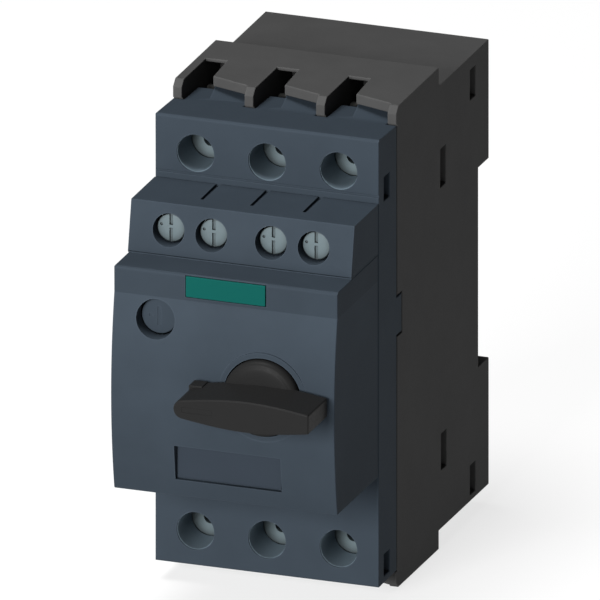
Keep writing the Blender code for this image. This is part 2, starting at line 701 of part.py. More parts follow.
def knob_shaft():
    """Square-ended shaft with the cam disc whose lobe drives the contact carrier."""
    axis = (KNOB_X, 0.0, 0.0)
    profile = (
        (0.0, KNOB_HUB_Y + GAP),
        (SHAFT_RADIUS, KNOB_HUB_Y + GAP),
        (SHAFT_RADIUS, CAM_Y),
        (CAM_RADIUS, CAM_Y),
        (CAM_RADIUS, CAM_Y + CAM_THICK),
        (SHAFT_RADIUS, CAM_Y + CAM_THICK),
        (SHAFT_RADIUS, LATCH_Y[1] - GAP),
        (0.0, LATCH_Y[1] - GAP),
    )
    shaft = turned("knob_shaft", profile, (KNOB_X, 0.0), 24)
    join(shaft, box("shaft square", (KNOB_X - SHAFT_SQUARE, KNOB_X + SHAFT_SQUARE), (SHAFT_TIP_Y, KNOB_HUB_Y + WALL),
                    (-SHAFT_SQUARE, SHAFT_SQUARE), axis))
    along, across = FOLLOWER_HALF[1], FOLLOWER_HALF[0]
    lobe_x = KNOB_X - FOLLOWER_Z
    join(shaft, box("cam lobe", (lobe_x - along, lobe_x + along), (CAM_Y + GAP, CAM_Y + CAM_THICK + CAM_LOBE),
                    (-across, across), axis))
    return finish(shaft, STEEL)


def setting_dial():
    """Slotted current-setting dial, sunk in the cover, on a stem that reaches the trip parts."""
    centre = (DIAL_X, DIAL_Z)
    profile = (
        (0.0, DIAL_Y[0]),
        (DIAL_HOLE - GAP, DIAL_Y[0]),
        (DIAL_HOLE - GAP, DIAL_Y[1]),
        (DIAL_STEM, DIAL_Y[1]),
        (DIAL_STEM, DIAL_STEM_Y),
        (0.0, DIAL_STEM_Y),
    )
    dial = turned("setting_dial", profile, centre, 24)
    origin = (DIAL_X, 0.0, DIAL_Z)
    slot = (DIAL_Y[0] - FREE, DIAL_Y[0] + 0.8)
    cut(dial, box("dial slot", (DIAL_X - 0.4, DIAL_X + 0.4), slot, (DIAL_Z - 2.6, DIAL_Z + 2.6), origin))
    cut(dial, box("dial mark", (DIAL_X - 2.6, DIAL_X), slot, (DIAL_Z - 0.4, DIAL_Z + 0.4), origin))
    return finish(dial, GREY_PLASTIC)


def latch_frame():
    """Folded steel frame of the switching latch, in which the knob's shaft turns."""
    frame = box("latch_frame", LATCH_X, LATCH_Y, (-LATCH_HALF, LATCH_HALF))
    inside = [(LATCH_X[0] + LATCH_PLATE, LATCH_X[1] - LATCH_PLATE), (LATCH_Y[0] + LATCH_PLATE, LATCH_Y[1] - LATCH_PLATE)]
    cut(frame, box("frame opening", *inside, (-LATCH_HALF - FREE, LATCH_HALF + FREE)))
    cut(frame, rod("shaft bearing", (KNOB_X, 0.0), SHAFT_RADIUS + GAP, (LATCH_Y[0] - FREE, LATCH_Y[1] + FREE), 24))
    x = FOLLOWER_HALF[0] + GAP
    z = FOLLOWER_HALF[1] + GAP
    cut(frame, box("follower slot", (KNOB_X - x, KNOB_X + x), (LATCH_Y[1] - WALL, LATCH_Y[1] + FREE),
                   (FOLLOWER_Z - z, FOLLOWER_Z + z)))
    return finish(frame, STEEL)


# --- Contact system ---------------------------------------------------------------------------------
def contact_carrier():
    """Insulating bar that carries the three moving contacts and works the auxiliary contact."""
    carrier = box("contact_carrier", (-CARRIER_HALF, CARRIER_HALF), CARRIER_BAR_Y, (CARRIER_BOTTOM, CARRIER_TOP))
    post_end = BRIDGE_Y + 2.6
    for number, centre in enumerate(POLE_X, 1):
        join(carrier, box(f"post {number}", (centre - POST_HALF, centre + POST_HALF), (CARRIER_BAR_Y[1] - WALL, post_end),
                          (CARRIER_BOTTOM, -CARRIER_BOTTOM)))
        window = BRIDGE_HALF + GAP
        cut(carrier, box(f"window {number}", (centre - window, centre + window),
                         (BRIDGE_Y - BRIDGE - GAP, BRIDGE_Y + GAP), (CARRIER_BOTTOM - FREE, CARRIER_TOP + FREE)))
    arm = (-ARM_HALF, ARM_HALF)
    join(carrier, box("arm foot", arm, (ARM_Y, CARRIER_BAR_Y[0] + WALL), (1.0, CARRIER_TOP)))
    join(carrier, box("arm", arm, (ARM_Y, ARM_Y + ARM_THICK), (1.5, AUX_SCREW_Z + AUX_ROD_HALF)))
    rod_x = (-AUX_ROD_HALF, AUX_ROD_HALF)
    join(carrier, box("switch rod", rod_x, (AUX_ROD_Y, ARM_Y + ARM_THICK / 2),
                      (AUX_SCREW_Z - AUX_ROD_HALF, AUX_SCREW_Z + AUX_ROD_HALF)))
    across, along = FOLLOWER_HALF
    join(carrier, box("follower", (KNOB_X - across, KNOB_X + across), (FOLLOWER_Y, CARRIER_BAR_Y[0] + WALL),
                      (FOLLOWER_Z - along, FOLLOWER_Z + along)))
    return finish(carrier, DARK_PLASTIC)


def moving_contacts():
    tip = CONTACT_Z - CONTACT_HALF
    end = CONTACT_Z + CONTACT_HALF
    back = BRIDGE_Y
    outline = (
        (back - BRIDGE, -end), (back - BRIDGE, end), (back + BRIDGE_TIP, end), (back + BRIDGE_TIP, tip),
        (back, tip), (back, -tip), (back + BRIDGE_TIP, -tip), (back + BRIDGE_TIP, -end),
    )
    pattern = plate("moving contact", outline, "X", (-BRIDGE_HALF, BRIDGE_HALF), (0.0, BRIDGE_Y, 0.0))
    places = [(centre, BRIDGE_Y, 0.0) for centre in POLE_X]
    return copies(pattern, [f"moving_contact_{n}" for n in (1, 2, 3)], places, COPPER)


def terminal_bars():
    """Copper bars from each terminal to its fixed contact, the load bars a mirror of the line bars."""
    top = TERMINAL_Z + BAR_END
    bend = TERMINAL_Z - BAR_END
    leg = BAR_DROP_Y
    tip = CONTACT_Z + CONTACT_HALF
    base = CONTACT_Z - CONTACT_HALF
    outline = (
        (BAR_FACE_Y, top), (BAR_FACE_Y, bend), (leg, bend), (leg, tip), (leg - CONTACT_TIP, tip),
        (leg - CONTACT_TIP, base), (leg + BAR, base), (leg + BAR, bend + BAR), (BAR_FACE_Y + BAR, bend + BAR),
        (BAR_FACE_Y + BAR, top),
    )
    made = []
    for name, shape in (("line", outline), ("load", mirrored(outline))):
        pattern = plate(f"{name} bar", shape, "X", (-IN_POLE, IN_POLE))
        if name == "load":
            cut(pattern, rod("plunger hole", (0.0, COIL_Z), COIL_BORE, (leg - 1, leg + BAR + 1)))
        places = [(centre, 0.0, 0.0) for centre in POLE_X]
        made += copies(pattern, [f"{name}_terminal_bar_{n}" for n in (1, 2, 3)], places, COPPER)
    return made


def terminals():
    """Saddle clamps and screws of the six main terminals, each screw carried by the saddle that it presses."""
    head = turned("terminal screw", (
        (0.0, SCREW_HEAD_Y), (SCREW_HEAD_RADIUS - 0.4, SCREW_HEAD_Y), (SCREW_HEAD_RADIUS, SCREW_HEAD_Y + 0.4),
        (SCREW_HEAD_RADIUS, SCREW_HEAD_Y + SCREW_HEAD), (SCREW_RADIUS, SCREW_HEAD_Y + SCREW_HEAD),
        (SCREW_RADIUS, SCREW_TIP_Y), (0.0, SCREW_TIP_Y)), (0.0, 0.0), 18)
    width, reach, depth = DRIVE_SLOT
    drive = (SCREW_HEAD_Y - 1, SCREW_HEAD_Y + depth)
    cut(head, box("drive slot", (-width / 2, width / 2), drive, (-reach, reach)))
    cut(head, box("drive cross", (-reach, reach), drive, (-width / 2, width / 2)))
    screw_mesh = evaluated_mesh(head)
    screw_mesh.transform(Matrix.Translation((0.0, -SADDLE_Y * MM, 0.0)))
    bpy.data.objects.remove(head, do_unlink=True)
    half = floor_z(SLAB_BACK_Y) - SIDE_WALL - SADDLE_CLEAR - TERMINAL_Z
    saddle = box("clamp saddle", (-IN_POLE, IN_POLE), (SADDLE_Y, SADDLE_Y + SADDLE), (-half, half),
                 (0.0, SADDLE_Y, 0.0))
    names = [f"{side}_{n}" for side in ("line", "load") for n in (1, 2, 3)]
    places = [(x, SADDLE_Y, z) for z in (TERMINAL_Z, -TERMINAL_Z) for x in POLE_X]
    saddles = copies(saddle, [f"clamp_saddle_{name}" for name in names], places, STEEL)
    screws = [place(f"terminal_screw_{name}", screw_mesh, spot) for name, spot in zip(names, places)]
    finish(screws[0], STEEL)
    for clamp, screw in zip(saddles, screws):
        carry(clamp, screw)


def arc_chutes():
    """Combs of steel plates above each pole's upper contacts."""
    bottom, top = CHUTE_Z
    spine = CHUTE_Y[0] + 0.9
    pitch = (top - bottom - CHUTE_PLATE) / (CHUTE_PLATES - 1)
    outline = [(CHUTE_Y[0], top), (CHUTE_Y[0], bottom)]
    for i in range(CHUTE_PLATES):
        low = bottom + i * pitch
        outline += [(CHUTE_Y[1], low), (CHUTE_Y[1], low + CHUTE_PLATE)]
        if i < CHUTE_PLATES - 1:
            outline += [(spine, low + CHUTE_PLATE), (spine, low + pitch)]
    pattern = plate("arc chute", outline, "X", (-IN_POLE, IN_POLE))
    return copies(pattern, [f"arc_chute_{n}" for n in (1, 2, 3)], [(x, 0.0, 0.0) for x in POLE_X], STEEL)


# --- Trips -----------------------------------------------------------------------------------------
def coil_profile(turns=4):
    """A bobbin with ribbed winding between two flanges, as (radius, Y) points."""
    flange = 0.8
    outer = IN_POLE
    front, back = COIL_Y
    winding = [(outer, front), (outer, front + flange)]
    step = (back - front - 2 * flange) / turns
    for i in range(turns):
        start = front + flange + i * step
        winding += [(outer - 1.4, start), (outer - 0.7, start + step / 2)]
    winding += [(outer - 1.4, back - flange), (outer, back - flange), (outer, back)]
    return [(COIL_BORE, front), *winding, (COIL_BORE, back)]


def magnet_trips():
    """Short-circuit coils and the plungers that slide in them."""
    pattern = turned("magnet coil", coil_profile(), (0.0, COIL_Z), 16)
    places = [(x, 0.0, COIL_Z) for x in POLE_X]
    copies(pattern, [f"magnet_coil_{n}" for n in (1, 2, 3)], places, COPPER)
    pattern = rod("magnet plunger", (0.0, COIL_Z), PLUNGER_RADIUS, PLUNGER_Y, 20, (0.0, 0.0, COIL_Z))
    copies(pattern, [f"magnet_plunger_{n}" for n in (1, 2, 3)], places, STEEL)


def bimetals():
    """Overload strips standing on the rear wall, their tips beside the trip slide."""
    foot = -TERMINAL_Z + 3.0
    outline = (
        (BIMETAL_Y, BIMETAL_TIP_Z), (BIMETAL_Y, foot - 4.0), (CHAMBER_BACK_Y - GAP, foot - 4.0),
        (CHAMBER_BACK_Y - GAP, foot), (BIMETAL_Y + BIMETAL, foot), (BIMETAL_Y + BIMETAL, BIMETAL_TIP_Z),
    )
    pattern = plate("bimetal", outline, "X", (-BRIDGE_HALF, BRIDGE_HALF))
    return copies(pattern, [f"bimetal_{n}" for n in (1, 2, 3)], [(x, 0.0, 0.0) for x in POLE_X], BIMETAL_STRIP)


def trip_slide():
    """Slide across the poles that the bimetals push to release the latch."""
    half = POLE_X[2] + POLE_ROOM / 2 - GAP - TRIP_TRAVEL
    return finish(box("trip_slide", (-half, half), TRIP_SLIDE_Y, TRIP_SLIDE_Z), WHITE_PLASTIC)


def rail_latch():
    """Sprung latch below the rail recess, with a grip over the rail's lower flange."""
    grip = RAIL_HALF - HOOK_GRIP
    outline = (
        (HOOK_Y[0], -grip), (HOOK_Y[0], -grip - RAIL_LATCH_LENGTH), (HOOK_Y[1], -grip - RAIL_LATCH_LENGTH),
        (HOOK_Y[1], -grip - 1.5), (HOOK_Y[0] + 1.0, -grip),
    )
    return finish(plate("rail_latch", outline, "X", (-RAIL_LATCH_HALF, RAIL_LATCH_HALF)), DARK_PLASTIC)


# --- Auxiliary switch ------------------------------------------------------------------------------
def aux_terminals():
    """Screws, clamp plates and fixed contacts of the auxiliary switch."""
    origin = (0.0, AUX_CLAMP_Y, 0.0)
    screw = turned("aux screw", (
        (0.0, AUX_HEAD_Y[0]), (AUX_HEAD_RADIUS - 0.3, AUX_HEAD_Y[0]), (AUX_HEAD_RADIUS, AUX_HEAD_Y[0] + 0.3),
        (AUX_HEAD_RADIUS, AUX_HEAD_Y[1]), (AUX_SCREW_RADIUS, AUX_HEAD_Y[1]),
        (AUX_SCREW_RADIUS, AUX_SCREW_TIP_Y), (0.0, AUX_SCREW_TIP_Y)), (0.0, 0.0), 16)
    drive = (AUX_HEAD_Y[0] - 1, AUX_HEAD_Y[0] + 0.9)
    cut(screw, box("aux drive slot", (-0.35, 0.35), drive, (-2.1, 2.1)))
    cut(screw, box("aux drive cross", (-1.3, 1.3), drive, (-0.35, 0.35)))
    mesh = evaluated_mesh(screw)
    mesh.transform(Matrix.Translation((0.0, -AUX_CLAMP_Y * MM, 0.0)))
    bpy.data.objects.remove(screw, do_unlink=True)
    half = AUX_CLAMP_HALF
    clamp = box("aux clamp", (-half, half), (AUX_CLAMP_Y, AUX_CLAMP_Y + AUX_CLAMP), (-half, half), origin)
    hole = AUX_SCREW_RADIUS + GAP
    cut(clamp, rod("aux clamp hole", (0.0, 0.0), hole, (AUX_CLAMP_Y - 1, AUX_CLAMP_Y + AUX_CLAMP + 1), 16, origin))
    places = [(x, AUX_CLAMP_Y, AUX_SCREW_Z) for x in AUX_SCREW_X]
    numbers = range(1, len(AUX_SCREW_X) + 1)
    clamps = copies(clamp, [f"aux_clamp_{n}" for n in numbers], places, STEEL)
    screws = [place(f"aux_screw_{n}", mesh, spot) for n, spot in zip(numbers, places)]
    finish(screws[0], STEEL)
    for holder, fastener in zip(clamps, screws):
        carry(holder, fastener)

    height = (AUX_ROOM_Z[0] + GAP, AUX_ROOM_Z[1] - GAP)
    for number, x in zip(numbers, AUX_SCREW_X):
        bar = box(f"aux_terminal_bar_{number}", (x - 3.2, x + 3.2), (AUX_BAR_Y, AUX_BAR_Y + AUX_BAR), height)
        cut(bar, rod(f"aux bar hole {number}", (x, AUX_SCREW_Z), hole, (AUX_BAR_Y - 1, AUX_BAR_Y + AUX_BAR + 1), 16))
        inward = -1 if x > 0 else 1
        if abs(x) < POLE_PITCH / 2:
            lug = (x - inward * 1.8, x - inward * 3.2)
            join(bar, box(f"aux contact lug {number}", lug, (AUX_BAR_Y + GAP, AUX_BRIDGE_Y - GAP), (25.4, 29.4)))
        finish(bar, COPPER)


def aux_contact_bridge():
    """Copper bridge on the carrier's rod that joins the two inner auxiliary terminals."""
    reach = AUX_SCREW_X[2] + 3.4
    bridge = box("aux_contact_bridge", (-reach, reach), (AUX_BRIDGE_Y, AUX_BRIDGE_Y + AUX_BRIDGE), (25.2, 29.6))
    hole = AUX_ROD_HALF + GAP
    cut(bridge, box("bridge hole", (-hole, hole), (AUX_BRIDGE_Y - 1, AUX_BRIDGE_Y + AUX_BRIDGE + 1),
                    (AUX_SCREW_Z - hole, AUX_SCREW_Z + hole)))
    return finish(bridge, COPPER)


clear_scene()
base_housing()
front_housing()
front_cover()
name_plate()
inscription_label()
aux_switch_housing()
knob = rotary_knob()
carry(knob, padlock_slide(), knob_shaft())
setting_dial()
latch_frame()
carrier = contact_carrier()
carry(carrier, *moving_contacts(), aux_contact_bridge())
terminal_bars()
terminals()
arc_chutes()
magnet_trips()
bimetals()
trip_slide()
rail_latch()
aux_terminals()
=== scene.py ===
"""Looks of a three-pole motor protection breaker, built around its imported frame."""

import math

import bmesh
import bpy
from mathutils import Matrix, Vector


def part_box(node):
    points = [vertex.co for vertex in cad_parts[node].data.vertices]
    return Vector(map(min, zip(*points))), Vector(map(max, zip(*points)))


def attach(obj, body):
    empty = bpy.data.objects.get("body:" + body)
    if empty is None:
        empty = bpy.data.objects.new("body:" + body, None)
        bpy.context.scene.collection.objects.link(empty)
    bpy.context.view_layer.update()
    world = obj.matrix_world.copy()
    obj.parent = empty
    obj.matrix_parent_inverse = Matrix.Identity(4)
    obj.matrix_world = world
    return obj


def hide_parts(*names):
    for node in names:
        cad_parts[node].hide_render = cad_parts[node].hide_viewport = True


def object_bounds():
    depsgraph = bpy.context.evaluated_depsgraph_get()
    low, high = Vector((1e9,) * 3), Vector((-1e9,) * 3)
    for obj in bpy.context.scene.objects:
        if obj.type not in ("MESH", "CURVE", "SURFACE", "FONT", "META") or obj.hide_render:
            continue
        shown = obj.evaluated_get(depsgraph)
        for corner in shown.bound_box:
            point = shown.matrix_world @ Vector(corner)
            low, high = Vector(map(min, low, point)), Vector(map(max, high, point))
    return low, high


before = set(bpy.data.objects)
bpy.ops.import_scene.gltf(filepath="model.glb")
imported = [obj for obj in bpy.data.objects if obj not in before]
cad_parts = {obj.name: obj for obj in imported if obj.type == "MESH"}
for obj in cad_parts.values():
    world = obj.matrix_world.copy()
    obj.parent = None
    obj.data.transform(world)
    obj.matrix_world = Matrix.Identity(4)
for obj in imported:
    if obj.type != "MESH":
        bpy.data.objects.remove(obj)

MM = 0.001
cad_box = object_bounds()

# Camera: a long-lens studio view from 20 degrees to the right and 20 degrees above, close enough
# to a parallel projection to be drawn as one.  It looks at the middle of the device.
LOOK_AT = Vector((0.0, -37.4, 4.04)) * MM
turn, rise = math.radians(20), math.radians(20)
towards_camera = Vector((math.sin(turn) * math.cos(rise), -math.cos(turn) * math.cos(rise), math.sin(rise)))
camera = bpy.data.objects.new("camera", bpy.data.cameras.new("camera"))
camera.data.type = "ORTHO"
camera.data.ortho_scale = 113.5 * MM
camera.data.clip_start = 0.01
camera.data.clip_end = 20
camera.location = LOOK_AT + towards_camera * 1.0
camera.rotation_mode = "QUATERNION"
camera.rotation_quaternion = (-towards_camera).to_track_quat("-Z", "Y")
bpy.context.scene.collection.objects.link(camera)
bpy.context.scene.camera = camera
bpy.context.scene.view_settings.view_transform = "Standard"


# Studio: one softbox ahead, a little to the left, that reaches down the screw holes, one high on
# the left for the tops, and a dim room, so that the right side keeps its shade.
def softbox(name, azimuth, elevation, distance, size, power):
    """A square area light that looks at the device from a direction in degrees."""
    a, e = math.radians(azimuth), math.radians(elevation)
    away = Vector((math.sin(a) * math.cos(e), -math.cos(a) * math.cos(e), math.sin(e)))
    light = bpy.data.lights.new(name, "AREA")
    light.shape = "SQUARE"
    light.size = size
    light.energy = power
    lamp = bpy.data.objects.new(name, light)
    lamp.location = LOOK_AT + away * distance
    lamp.rotation_mode = "QUATERNION"
    lamp.rotation_quaternion = away.to_track_quat("Z", "Y")
    bpy.context.scene.collection.objects.link(lamp)


softbox("front softbox", azimuth=-8, elevation=14, distance=1.2, size=0.5, power=26.5)
softbox("overhead softbox", azimuth=-60, elevation=76, distance=1.2, size=0.6, power=18.6)
world = bpy.data.worlds.new("dim room")
world.use_nodes = True
world.node_tree.nodes["Background"].inputs["Color"].default_value = (1.0, 1.0, 1.0, 1.0)
world.node_tree.nodes["Background"].inputs["Strength"].default_value = 0.07
bpy.context.scene.world = world


def srgb(text):
    """An sRGB hex colour as linear red, green, blue and alpha."""
    levels = [int(text[i:i + 2], 16) / 255 for i in (0, 2, 4)]
    return (*(v / 12.92 if v <= 0.04045 else ((v + 0.055) / 1.055) ** 2.4 for v in levels), 1.0)


def add(tree, kind, settings=None, **links):
    """A shader node with its settings, and its inputs as values or as other nodes' outputs."""
    node = tree.nodes.new(kind)
    for key, value in (settings or {}).items():
        setattr(node, key, value)
    for key, value in links.items():
        name = key.replace("_", " ")
        socket = node.inputs[int(key[1:])] if key[0] == "i" and key[1:].isdigit() else node.inputs[name]
        if isinstance(value, bpy.types.NodeSocket):
            tree.links.new(value, socket)
        else:
            socket.default_value = value
    return node


# Floor: matt white paper sweep, lit through from below so that it stays paler than the shadow.
def paper_floor():
    material = bpy.data.materials.new("matt white paper")
    material.use_nodes = True
    shader = material.node_tree.nodes["Principled BSDF"]
    shader.inputs["Base Color"].default_value = srgb("7C7C7C")
    shader.inputs["Roughness"].default_value = 0.9
    shader.inputs["Specular IOR Level"].default_value = 0.1
    shader.inputs["Emission Color"].default_value = (1.0, 1.0, 1.0, 1.0)
    shader.inputs["Emission Strength"].default_value = 0.74
    bpy.ops.mesh.primitive_plane_add(size=6.0, location=(0.0, 0.0, cad_box[0].z - 0.0002))
    floor = bpy.context.object
    floor.name = "floor"
    floor.data.materials.append(material)


paper_floor()


# Base housing: glass-filled polyamide, moulded dark grey.  Spark-eroded tools leave a fine, dull
# grain on it, and its arrises are rounded by the tool.
def moulded(name, colour, grain_mm, roughness, mottle=0.12, bump=0.18, edge=0.35):
    """Injection-moulded plastic: eroded grain, faint mottling from the fill, paler edges that are partly
    rubbed wear and partly a painted highlight.
    """
    material = bpy.data.materials.new(name)
    material.use_nodes = True
    tree = material.node_tree
    shader = tree.nodes["Principled BSDF"]
    place = add(tree, "ShaderNodeTexCoord").outputs["Object"]
    cloud = add(tree, "ShaderNodeTexNoise", Vector=place, Scale=1 / (9 * MM), Detail=3.0, Roughness=0.6)
    grain = add(tree, "ShaderNodeTexNoise",
                Vector=place, Scale=1 / (grain_mm * MM), Detail=2.0, Roughness=0.7)
    deep = tuple(c * (1 - mottle) for c in srgb(colour)[:3]) + (1.0,)
    pale = tuple(min(1.0, c * (1 + mottle)) for c in srgb(colour)[:3]) + (1.0,)
    body = add(tree, "ShaderNodeMix", {"data_type": "RGBA"}, i0=cloud.outputs["Fac"], i6=deep, i7=pale)
    round_off = add(tree, "ShaderNodeBevel", {"samples": 4}, Radius=0.35 * MM)
    flat = add(tree, "ShaderNodeNewGeometry")
    agree = add(tree, "ShaderNodeVectorMath", {"operation": "DOT_PRODUCT"},
                i0=round_off.outputs["Normal"], i1=flat.outputs["Normal"])
    # Paler edges: partly rubbed wear, partly a painted highlight on the rounded arrises.
    edge_wear_and_painted_highlight_mask = add(tree, "ShaderNodeMapRange", i0=agree.outputs["Value"], i1=0.995, i2=0.85, i3=0.0, i4=edge)
    edge_wear_and_painted_highlight_colour = tuple(min(1.0, c * 1.9 + 0.004) for c in srgb(colour)[:3]) + (1.0,)
    skin = add(tree, "ShaderNodeMix", {"data_type": "RGBA"},
               i0=edge_wear_and_painted_highlight_mask.outputs["Result"], i6=body.outputs[2], i7=edge_wear_and_painted_highlight_colour)
    tree.links.new(skin.outputs[2], shader.inputs["Base Color"])
    gloss = add(tree, "ShaderNodeMapRange",
                i0=grain.outputs["Fac"], i1=0.3, i2=0.7, i3=roughness - 0.06, i4=roughness + 0.06)
    tree.links.new(gloss.outputs["Result"], shader.inputs["Roughness"])
    relief = add(tree, "ShaderNodeBump", Height=grain.outputs["Fac"], Strength=bump, Distance=0.02 * MM)
    tree.links.new(relief.outputs["Normal"], shader.inputs["Normal"])
    shader.inputs["Specular IOR Level"].default_value = 0.015
    return material


def rounded_copy(node, name, width, shortest=1.2, outline_only=False):
    """A new mesh over a frame solid, its triangles merged to whole faces, its long arrises rounded."""
    low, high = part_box(node)
    bm = bmesh.new()
    bm.from_mesh(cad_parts[node].data)
    bmesh.ops.remove_doubles(bm, verts=bm.verts, dist=0.002 * MM)
    bmesh.ops.dissolve_limit(bm, angle_limit=math.radians(0.3), verts=bm.verts, edges=bm.edges,
                             delimit={"NORMAL"})
    chosen = []
    for line in bm.edges:
        if len(line.link_faces) != 2 or line.calc_length() < shortest * MM:
            continue
        middle = (line.verts[0].co + line.verts[1].co) / 2
        outer = min(middle.x - low.x, high.x - middle.x, middle.z - low.z, high.z - middle.z) < 1.0 * MM
        if outline_only and not outer:
            continue
        if line.is_convex and line.calc_face_angle(0.0) > math.radians(35):
            chosen.append(line)
    strip = bm.faces.layers.int.new("rounded strip")
    made = bmesh.ops.bevel(bm, geom=chosen, offset=width * MM, segments=3, profile=0.5,
                           affect="EDGES", clamp_overlap=False)
    for face in made["faces"]:
        face[strip] = 1
    bmesh.ops.triangulate(bm, faces=[f for f in bm.faces if len(f.verts) > 4])
    bm.normal_update()
    wanted = [corner_normal(face, loop.vert, strip) for face in bm.faces for loop in face.loops]
    mesh = bpy.data.meshes.new(name)
    bm.to_mesh(mesh)
    bm.free()
    mesh.shade_smooth()
    mesh.normals_split_custom_set(wanted)
    piece = bpy.data.objects.new(name, mesh)
    bpy.context.scene.collection.objects.link(piece)
    return piece


def corner_normal(face, corner, strip):
    """Flats stay flat, bores shade round, and a rounded strip runs from one flat's normal to the next."""
    limit = math.cos(math.radians(32))
    around = [f for f in corner.link_faces if not f[strip] and f.normal.dot(face.normal) > limit]
    if not face[strip] or not around:
        around = [f for f in corner.link_faces
                  if f[strip] == face[strip] and f.normal.dot(face.normal) > limit]
        total = Vector((0.0, 0.0, 0.0))
        seen = []
        for other in around:
            if all(other.normal.dot(n) < 0.99999 for n in seen):
                seen.append(other.normal)
                total += other.normal
        return total.normalized() if seen else face.normal.copy()
    return max(around, key=lambda f: f.normal.dot(face.normal)).normal.copy()


def swept_normals(piece, fold_z):
    """Shade a bulged front by its height alone, so that its openings leave no mark, with a crisp fold."""
    mesh = piece.data
    fronts = {}
    for face in mesh.polygons:
        if face.normal.y < -0.8 and abs(face.normal.x) < 0.02 and face.center.z < fold_z:
            key = round(face.normal.z, 3)
            heights = [mesh.vertices[v].co.z for v in face.vertices]
            low, high, _ = fronts.get(key, (1.0, -1.0, None))
            fronts[key] = (min(low, *heights), max(high, *heights), face.normal.copy())
    rows = [((low + high) / 2, normal) for low, high, normal in fronts.values() if high - low > 0.5 * MM]
    rows.sort(key=lambda row: row[0])
    wanted = [corner.vector.copy() for corner in mesh.corner_normals]
    for face in mesh.polygons:
        if face.normal.y > -0.8 or abs(face.normal.x) > 0.02:
            continue
        for corner in face.loop_indices:
            height = mesh.vertices[mesh.loops[corner].vertex_index].co.z
            if face.center.z > fold_z or not rows:
                wanted[corner] = face.normal.copy()
                continue
            above = [row for row in rows if row[0] >= height] or rows[-1:]
            below = [row for row in rows if row[0] <= height] or rows[:1]
            span = above[0][0] - below[-1][0]
            part = (height - below[-1][0]) / span if span > 1e-9 else 0.0
            wanted[corner] = below[-1][1].lerp(above[0][1], part).normalized()
    mesh.normals_split_custom_set(wanted)


def settle(piece, node, body, material):
    """Give a piece its material and the body that it rides on, and hide the frame solid that it stands for.
    """
    piece.data.materials.clear()
    piece.data.materials.append(material)
    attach(piece, body)
    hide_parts(node)


dark_polyamide = moulded("spark-eroded dark polyamide", "3B3B3B", 0.35, 0.62)
base_shell = rounded_copy("base_housing", "base_shell", 0.2)
settle(base_shell, "base_housing", "body", dark_polyamide)

# Front housing, switch block and cover: the same process in a blue-grey blend.  The cover's colour
# carries painted shading along its height, with a painted shade band above the fold.
blue_grey = moulded("satin blue-grey polyamide", "2B3239", 0.3, 0.58)
front_shell = rounded_copy("front_housing", "front_shell", 0.25)
settle(front_shell, "front_housing", "body", blue_grey)
switch_block = rounded_copy("aux_switch_housing", "switch_block", 0.12, shortest=4.0)
settle(switch_block, "aux_switch_housing", "body", blue_grey)
cover = rounded_copy("front_cover", "cover_shell", 0.25, outline_only=True)
fold_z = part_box("name_plate")[0].z - 0.8 * MM
swept_normals(cover, fold_z)
cover_grey_painted_shading = moulded("blue-grey polyamide, cover, painted shading", "2B3239", 0.3, 0.58)
tree = cover_grey_painted_shading.node_tree
shader = tree.nodes["Principled BSDF"]
plain = shader.inputs["Base Color"].links[0].from_socket
place = add(tree, "ShaderNodeTexCoord").outputs["Object"]
height = add(tree, "ShaderNodeSeparateXYZ", Vector=place).outputs["Z"]
# Painted shading: painted shade darkens the cover towards its foot, painted light brightens it up to the
# fold, and a painted shade band darkens the strip above the fold.
foot, shoulder = -22 * MM, 17 * MM
foot_painted_shade, shoulder_painted_light, fold_band_painted_shade = 0.84, 1.1, 0.84
painted_height_shading = add(tree, "ShaderNodeMapRange", i0=height, i1=foot, i2=shoulder, i3=foot_painted_shade, i4=shoulder_painted_light)
painted_fold_band_shade = add(tree, "ShaderNodeMapRange", i0=height, i1=shoulder, i2=shoulder + 0.1 * MM, i3=1.0, i4=fold_band_painted_shade)
both = add(tree, "ShaderNodeMath", {"operation": "MULTIPLY"},
           i0=painted_height_shading.outputs["Result"], i1=painted_fold_band_shade.outputs["Result"])
painted_shading_colour = add(tree, "ShaderNodeVectorMath", {"operation": "SCALE"}, i0=plain, Scale=both.outputs[0])
tree.links.new(painted_shading_colour.outputs["Vector"], shader.inputs["Base Color"])
settle(cover, "front_cover", "body", cover_grey_painted_shading)


# Rotary knob: one black polyamide moulding, a domed disc with a rounded rim and a lens-shaped
# grip bar across it.  It is pushed on the square end of the shaft.
def turned(name, profile, axis_x, axis_z, steps):
    """A piece turned about a line along Y; the profile holds (radius, Y) in millimetres."""
    mesh = bpy.data.meshes.new(name)
    corners = [(radius * MM, y * MM, 0.0) for radius, y in profile]
    runs = [(i, i + 1) for i in range(len(profile) - 1)]
    if profile[0][0] > 0 and profile[-1][0] > 0:
        runs.append((len(profile) - 1, 0))
    mesh.from_pydata(corners, runs, [])
    blank = bpy.data.objects.new(name, mesh)
    bpy.context.scene.collection.objects.link(blank)
    screw = blank.modifiers.new("turn", "SCREW")
    screw.axis = "Y"
    screw.steps = screw.render_steps = steps
    screw.use_merge_vertices = True
    screw.merge_threshold = 0.00001
    return finished(blank, Matrix.Translation((axis_x * MM, 0.0, axis_z * MM)))


def finished(blank, shift=None):
    """The evaluated piece as a plain mesh with its faces outward, in place of the blank."""
    graph = bpy.context.evaluated_depsgraph_get()
    mesh = bpy.data.meshes.new_from_object(blank.evaluated_get(graph))
    name = blank.name
    bpy.data.objects.remove(blank, do_unlink=True)
    if shift:
        mesh.transform(shift)
    bm = bmesh.new()
    bm.from_mesh(mesh)
    bmesh.ops.remove_doubles(bm, verts=bm.verts, dist=0.001 * MM)
    bmesh.ops.recalc_face_normals(bm, faces=bm.faces)
    bm.to_mesh(mesh)
    bm.free()
    piece = bpy.data.objects.new(name, mesh)
    bpy.context.scene.collection.objects.link(piece)
    return piece


